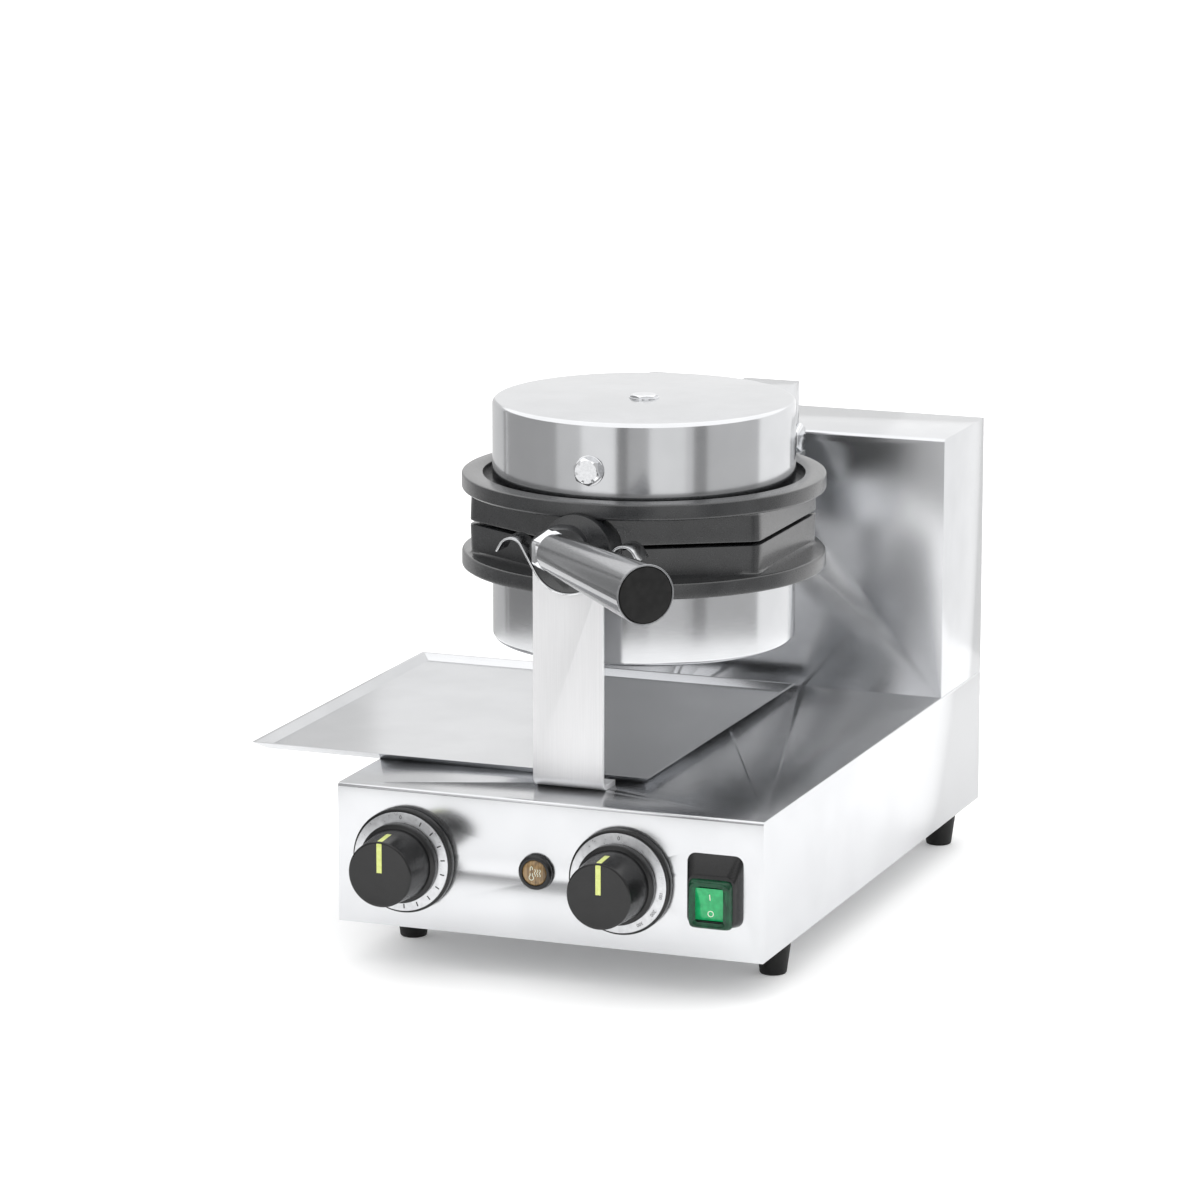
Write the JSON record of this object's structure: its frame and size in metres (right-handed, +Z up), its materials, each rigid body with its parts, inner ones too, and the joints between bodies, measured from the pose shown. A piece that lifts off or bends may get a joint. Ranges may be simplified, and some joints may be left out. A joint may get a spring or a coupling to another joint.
{
  "type": "bubble waffle maker",
  "caption": "Countertop bubble waffle maker: steel base and rear tower, turning round head of hinged hexagonal cast plates, side handle, spring saddle post, dials, rocker switch, drip tray.",
  "frame": {"origin": "middle of the whole part's footprint, tray as drawn out, on the surface that the feet stand on", "axes": "+X to the user's right, +Y from the control panel to the back, +Z up"},
  "size_m": [0.3264, 0.4878, 0.3082],
  "materials": {
    "polished_steel": "mirror-brushed stainless sheet",
    "plain_steel": "plain steel",
    "zinc_screws": "zinc-plated",
    "chrome": "bright polished",
    "spring_steel": "polished spring strip",
    "cast_plate": "cast, dark non-stick coating",
    "heater_steel": "heat-darkened steel",
    "rubber": "matt black",
    "black_plastic": "satin black",
    "dial_silver": "silver with dark marks",
    "pointer_yellow": "pale yellow-green",
    "lamp_amber": "amber lens",
    "rocker_green": "translucent green",
    "bronze": "sintered bronze",
    "terminal_cream": "cream moulding"
  },
  "bodies": {
    "base": {"base_housing": "polished_steel", "bottom_plate": "plain_steel", "bottom_screws": "zinc_screws", "feet": "rubber", "foot_screws": "zinc_screws", "tower_cover": "polished_steel", "tower_back_panel": "plain_steel", "back_panel_screws": "zinc_screws", "bearing_bracket": "plain_steel", "bracket_screws": "zinc_screws", "rear_bush": "bronze", "front_post": "polished_steel", "post_screws": "zinc_screws", "saddle_spring": "spring_steel", "timer_ring": "black_plastic", "timer_dial": "dial_silver", "timer_body": "black_plastic", "thermostat_ring": "black_plastic", "thermostat_dial": "dial_silver", "thermostat_body": "black_plastic", "lamp_body": "black_plastic", "lamp_lens": "lamp_amber", "switch_frame": "black_plastic", "terminal_block": "terminal_cream", "cable_gland": "black_plastic", "gland_nut": "black_plastic"},
    "head_lower": {"lower_plate": "cast_plate", "lower_journal": "cast_plate", "axle_boss": "cast_plate", "lower_cover": "polished_steel", "lower_heater": "heater_steel", "lower_clamp_disc": "plain_steel", "lower_cover_angle": "plain_steel", "lower_cover_bolts": "chrome", "hinge_yoke": "plain_steel", "head_axle": "plain_steel", "stop_collar": "plain_steel"},
    "head_upper": {"upper_plate": "cast_plate", "upper_journal": "cast_plate", "upper_cover": "polished_steel", "upper_heater": "heater_steel", "upper_clamp_disc": "plain_steel", "upper_cover_angle": "plain_steel", "upper_cover_bolts": "chrome", "hinge_channel": "polished_steel", "channel_screws": "zinc_screws", "pivot_bolts": "chrome", "pivot_nuts": "chrome", "handle_stud": "plain_steel", "handle_nut": "chrome", "handle_tube": "chrome", "handle_cap": "black_plastic"},
    "timer_control": {"timer_knob": "black_plastic", "timer_pointer": "pointer_yellow", "timer_shaft": "plain_steel"},
    "thermostat_control": {"thermostat_knob": "black_plastic", "thermostat_pointer": "pointer_yellow", "thermostat_shaft": "plain_steel"},
    "power_rocker": {"rocker": "rocker_green"},
    "tray": {"drip_tray": "polished_steel"}
  },
  "joints": [
    {"name": "head_turn", "type": "hinge", "parent": "base", "child": "head_lower", "pos_m": [0.03825, -0.01708, 0.2345], "axis": [0, 1, 0], "range_deg": [-180, 0]},
    {"name": "lid_hinge", "type": "hinge", "parent": "head_lower", "child": "head_upper", "pos_m": [0.03825, 0.10792, 0.2616], "axis": [-1, 0, 0], "range_deg": [0, 105]},
    {"name": "timer_turn", "type": "hinge", "parent": "base", "child": "timer_control", "pos_m": [-0.04645, -0.16608, 0.063], "axis": [0, 1, 0], "range_deg": [0, 300]},
    {"name": "thermostat_turn", "type": "hinge", "parent": "base", "child": "thermostat_control", "pos_m": [0.08175, -0.16608, 0.063], "axis": [0, 1, 0], "range_deg": [0, 270]},
    {"name": "rocker_tilt", "type": "hinge", "parent": "base", "child": "power_rocker", "pos_m": [0.13575, -0.16088, 0.0584], "axis": [-1, 0, 0], "range_deg": [0, 14]},
    {"name": "tray_slide", "type": "slide", "parent": "base", "child": "tray", "axis": [-1, 0, 0], "range_m": [-0.081, 0.044]}
  ]
}
